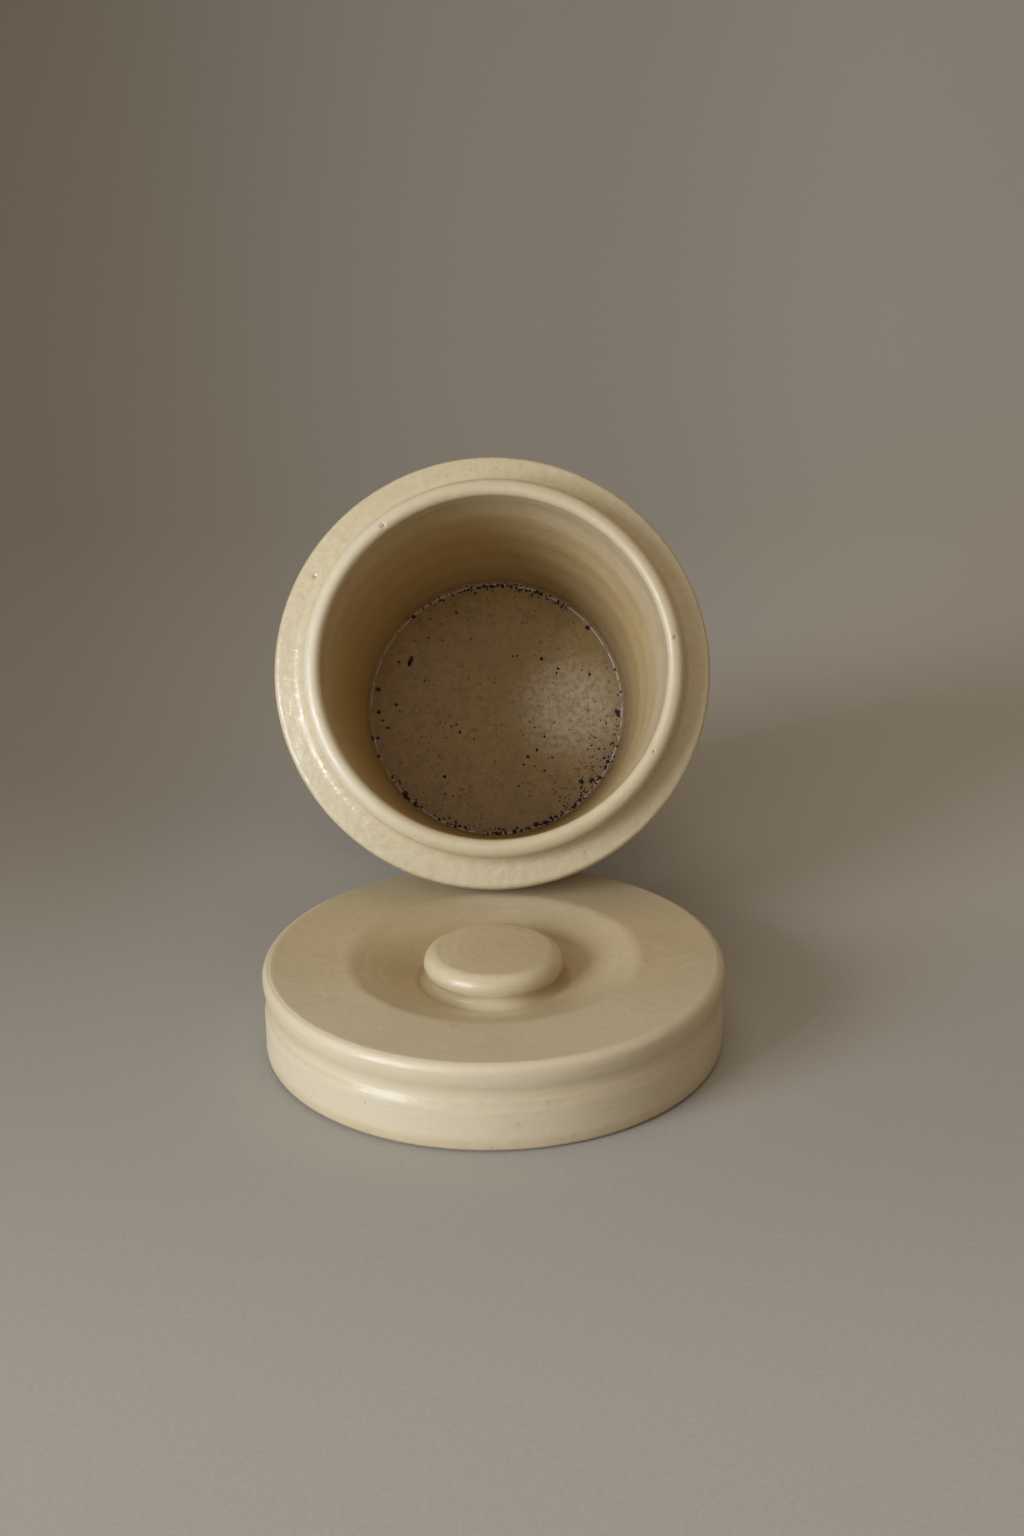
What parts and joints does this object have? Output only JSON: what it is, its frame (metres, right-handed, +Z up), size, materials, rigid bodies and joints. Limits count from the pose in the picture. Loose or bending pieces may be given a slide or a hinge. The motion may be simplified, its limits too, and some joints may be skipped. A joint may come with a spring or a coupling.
{
  "type": "stoneware jar with lid",
  "caption": "Round glazed stoneware jar leaning open behind its flat cover lid, which has a grip knob sunk in a dish and closes flush with the jar's shoulder.",
  "frame": {"origin": "middle of the footprint of the whole arrangement, on the table the lid lies on and the jar's heel touches", "axes": "+Z up; the jar's mouth looks towards -Y and up; the lid lies in front, on the -Y side; X = 0 is the mirror plane of both pieces"},
  "size_m": [0.11, 0.2, 0.1245],
  "materials": {
    "jar_glaze": "glossy cream glaze over buff stoneware",
    "lid_glaze": "glossy cream glaze over buff stoneware"
  },
  "bodies": {
    "lid": {"lid": "lid_glaze"},
    "jar": {"jar": "jar_glaze"}
  },
  "joints": [
    {"name": "jar_stand", "type": "hinge", "parent": "lid", "child": "jar", "pos_m": [0, 0.06058, 0.003], "axis": [-1, 0, 0], "range_deg": [0, 63.5]}
  ]
}
